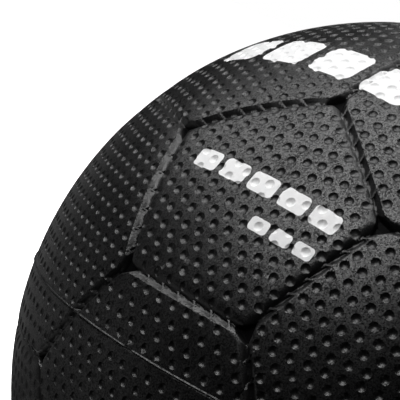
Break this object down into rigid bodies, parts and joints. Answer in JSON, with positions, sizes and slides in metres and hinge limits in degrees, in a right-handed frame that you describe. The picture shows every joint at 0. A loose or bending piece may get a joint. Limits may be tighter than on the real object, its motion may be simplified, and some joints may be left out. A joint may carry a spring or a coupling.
{
  "type": "handball",
  "caption": "Moulded rubber handball with dimpled pentagon and hexagon fields, recessed seams with moulded bars, thread-wound carcass, bladder and needle valve.",
  "frame": {"origin": "centre of the ball", "axes": "+Z along the mould's opening direction, out through the valve at the centre of the top pentagon field; +X through the centre of a pentagon field of the upper ring; Z = 0 is the mould's parting line"},
  "size_m": [0.1882, 0.1882, 0.1877],
  "materials": {
    "cover_rubber": "matte, finely grained",
    "skin_rubber": "matte",
    "winding_thread": "matte",
    "bladder_rubber": "smooth",
    "patch_rubber": "matte",
    "valve_rubber": "smooth",
    "core_rubber": "smooth"
  },
  "bodies": {
    "root": {"cover_upper_half": "cover_rubber", "cover_lower_half": "cover_rubber", "carcass_skin": "skin_rubber", "thread_winding": "winding_thread", "bladder": "bladder_rubber", "valve_patch": "patch_rubber", "valve_housing": "valve_rubber", "valve_core": "core_rubber"}
  },
  "joints": []
}
